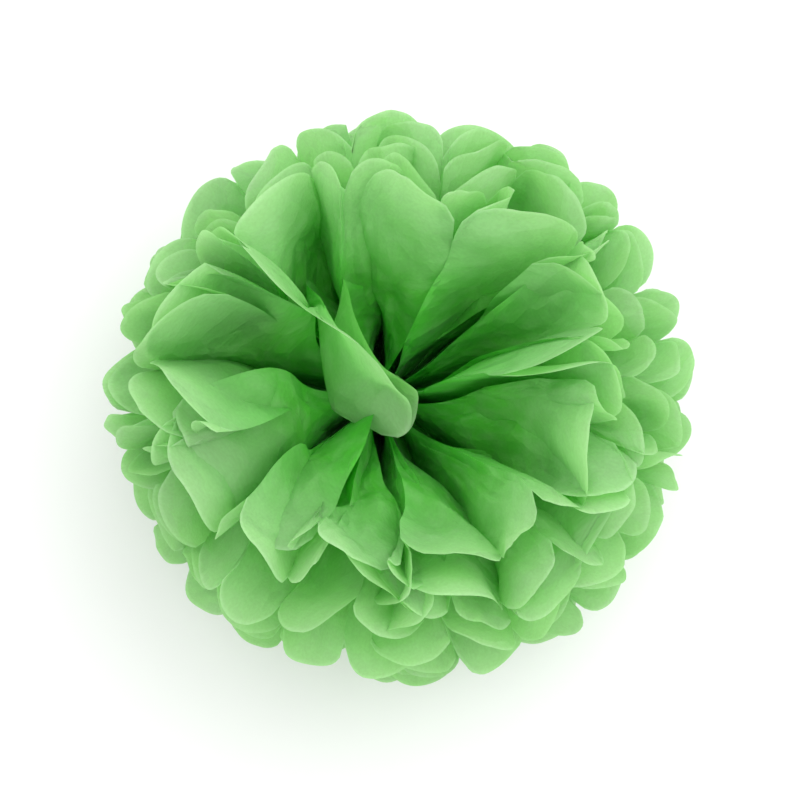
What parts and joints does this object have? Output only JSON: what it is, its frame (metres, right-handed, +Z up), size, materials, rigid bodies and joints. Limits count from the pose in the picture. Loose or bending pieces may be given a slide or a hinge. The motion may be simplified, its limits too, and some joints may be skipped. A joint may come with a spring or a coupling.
{
  "type": "tissue paper pom pom",
  "caption": "Round hanging or table decoration: pleated tissue sheets with scalloped ends, tied at the waist and fanned out into a ball of petals.",
  "frame": {"origin": "the point on the table straight below the tie, at the middle of the ring of petals that it stands on", "axes": "+Z up through the tie, from the lower flower to the upper one; the folds run along X where they are tied, and the two halves' cut side edges meet at +Y and -Y"},
  "size_m": [0.2496, 0.2492, 0.1908],
  "materials": {
    "tissue_paper": "soft matt tissue, thin enough for light to show through",
    "wire_coating": "smooth dark green coating on a soft wire; assumed, from the dark green middle, where no wire is seen"
  },
  "bodies": {
    "root": {"tissue_sheet_01": "tissue_paper", "tissue_sheet_02": "tissue_paper", "tissue_sheet_03": "tissue_paper", "tissue_sheet_04": "tissue_paper", "tissue_sheet_05": "tissue_paper", "tissue_sheet_06": "tissue_paper", "tissue_sheet_07": "tissue_paper", "tissue_sheet_08": "tissue_paper", "tissue_sheet_09": "tissue_paper", "tissue_sheet_10": "tissue_paper", "tie_wire": "wire_coating"}
  },
  "joints": []
}
